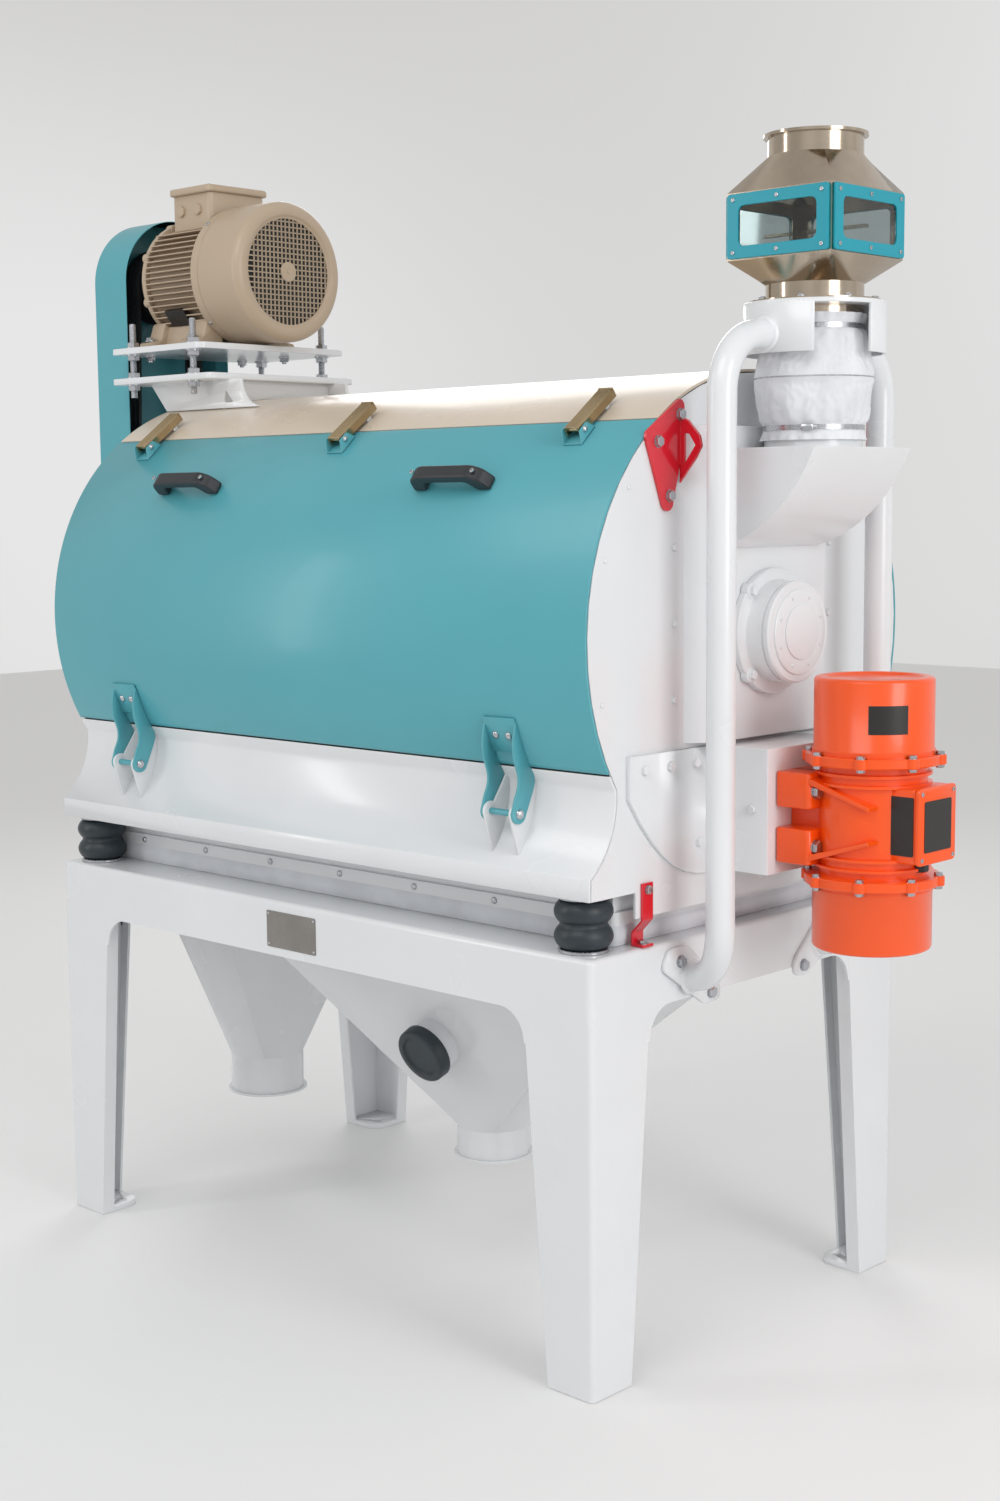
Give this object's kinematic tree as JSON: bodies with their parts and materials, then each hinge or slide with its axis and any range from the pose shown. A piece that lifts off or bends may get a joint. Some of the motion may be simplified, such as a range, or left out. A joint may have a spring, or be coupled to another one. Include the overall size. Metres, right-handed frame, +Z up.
{
  "type": "vibratory drum bran finisher",
  "caption": "Beater drum in a round sheet casing, sprung on rubber buffers over a four-legged stand with two outlet hoppers, driven by a belt and an unbalance motor.",
  "frame": {"origin": "centre of the footprint of the whole machine, on the floor", "axes": "+X towards the inlet and unbalance motor end, +Y to the rear side, +Z up"},
  "size_m": [2.22, 0.9544, 2.31],
  "materials": {
    "white_paint": "semi-gloss white powder coat",
    "stainless": "brushed stainless sheet",
    "latch_steel": "polished stainless pressing",
    "frame_teal": "gloss teal enamel",
    "sleeve_fabric": "white woven filter cloth",
    "seal_fabric": "white coated cloth",
    "rubber": "matt black moulded rubber",
    "red_paint": "gloss red enamel",
    "orange_paint": "semi-gloss orange enamel",
    "steel": "machined steel",
    "iron": "dark cast iron",
    "teal_paint": "semi-gloss pale teal powder coat",
    "black_plastic": "black moulded grip",
    "beige_paint": "semi-gloss beige enamel"
  },
  "bodies": {
    "root": {"stand_frame": "white_paint", "leg_front_left": "white_paint", "leg_front_right": "white_paint", "leg_rear_left": "white_paint", "leg_rear_right": "white_paint", "bran_hopper": "white_paint", "flour_hopper": "white_paint", "inlet_post_front": "white_paint", "inlet_post_rear": "white_paint", "inlet_collar": "white_paint", "sight_box": "stainless", "sight_window_front": "frame_teal", "sight_window_rear": "frame_teal", "sight_window_left": "frame_teal", "sight_window_right": "frame_teal", "inlet_sleeve": "sleeve_fabric", "seal_skirt": "seal_fabric", "buffer_front_left": "rubber", "buffer_front_right": "rubber", "buffer_rear_left": "rubber", "buffer_rear_right": "rubber", "transport_lock_front": "red_paint", "transport_lock_rear": "red_paint"},
    "casing": {"end_plate_left": "white_paint", "end_plate_right": "white_paint", "top_cover": "white_paint", "front_skirt": "white_paint", "rear_skirt": "white_paint", "casing_base": "white_paint", "screen_drum": "stainless", "bearing_left": "white_paint", "bearing_right": "white_paint", "inlet_chute": "white_paint", "vibro_bracket": "white_paint", "vibro_motor": "orange_paint", "motor_cradle": "white_paint", "belt_guard": "teal_paint", "drive_belt": "rubber", "lifting_lug_front": "red_paint", "lifting_lug_rear": "red_paint"},
    "motor_mount": {"motor_plate": "white_paint", "motor_body": "beige_paint", "fan_cowl": "beige_paint"},
    "motor_shaft": {"motor_rotor": "iron"},
    "beater": {"beater_rotor": "steel", "driven_pulley": "iron"},
    "unbalance_shaft": {"vibro_weights": "steel"},
    "front_door": {"front_door": "teal_paint", "front_hinge_left": "teal_paint", "front_hinge_right": "teal_paint", "front_handle_left": "black_plastic", "front_handle_right": "black_plastic"},
    "rear_door": {"rear_door": "teal_paint"},
    "port_cap": {"port_cap": "rubber"},
    "front_latch_left": {"front_latch_left": "latch_steel"},
    "front_latch_middle": {"front_latch_middle": "latch_steel"},
    "front_latch_right": {"front_latch_right": "latch_steel"},
    "rear_latch_left": {"rear_latch_left": "latch_steel"},
    "rear_latch_middle": {"rear_latch_middle": "latch_steel"},
    "rear_latch_right": {"rear_latch_right": "latch_steel"}
  },
  "joints": [
    {"name": "casing_bounce", "type": "slide", "parent": "root", "child": "casing", "axis": [0, 0, 1], "range_m": [-0.003, 0.003], "stiffness_N_per_m": 2000000, "springref_m": 0.00343, "deforming": ["buffer_front_left", "buffer_front_right", "buffer_rear_left", "buffer_rear_right"]},
    {"name": "motor_plate_adjust", "type": "slide", "parent": "casing", "child": "motor_mount", "axis": [0, 0, 1], "range_m": [-0.015, 0]},
    {"name": "rotor_spin", "type": "hinge", "parent": "casing", "child": "beater", "pos_m": [-0.065, 0, 1.348], "axis": [1, 0, 0], "continuous": true},
    {"name": "motor_spin", "type": "hinge", "parent": "motor_mount", "child": "motor_shaft", "pos_m": [-0.803, 0, 2.106], "axis": [1, 0, 0], "continuous": true},
    {"name": "vibro_spin", "type": "hinge", "parent": "casing", "child": "unbalance_shaft", "pos_m": [0.977, 0, 1.032], "axis": [0, 0, 1], "continuous": true},
    {"name": "front_door_swing", "type": "hinge", "parent": "casing", "child": "front_door", "pos_m": [-0.065, -0.45, 1.036], "axis": [1, 0, 0], "range_deg": [0, 110]},
    {"name": "rear_door_swing", "type": "hinge", "parent": "casing", "child": "rear_door", "pos_m": [-0.065, 0.45, 1.036], "axis": [-1, 0, 0], "range_deg": [0, 110]},
    {"name": "port_cap_pull", "type": "slide", "parent": "root", "child": "port_cap", "axis": [0, -0.927, -0.3752], "range_m": [0, 0.06]},
    {"name": "front_latch_left_lift", "type": "hinge", "parent": "front_door", "child": "front_latch_left", "pos_m": [-0.693, -0.33022, 1.71474], "axis": [1, 0, 0], "range_deg": [0, 120]},
    {"name": "rear_latch_left_lift", "type": "hinge", "parent": "rear_door", "child": "rear_latch_left", "pos_m": [-0.693, 0.33022, 1.71474], "axis": [-1, 0, 0], "range_deg": [0, 120]},
    {"name": "front_latch_middle_lift", "type": "hinge", "parent": "front_door", "child": "front_latch_middle", "pos_m": [-0.065, -0.33022, 1.71474], "axis": [1, 0, 0], "range_deg": [0, 120]},
    {"name": "rear_latch_middle_lift", "type": "hinge", "parent": "rear_door", "child": "rear_latch_middle", "pos_m": [-0.065, 0.33022, 1.71474], "axis": [-1, 0, 0], "range_deg": [0, 120]},
    {"name": "front_latch_right_lift", "type": "hinge", "parent": "front_door", "child": "front_latch_right", "pos_m": [0.563, -0.33022, 1.71474], "axis": [1, 0, 0], "range_deg": [0, 120]},
    {"name": "rear_latch_right_lift", "type": "hinge", "parent": "rear_door", "child": "rear_latch_right", "pos_m": [0.563, 0.33022, 1.71474], "axis": [-1, 0, 0], "range_deg": [0, 120]}
  ],
  "couplings": [
    {"joint": "motor_spin", "follows": "rotor_spin", "ratio": 1.2941}
  ]
}
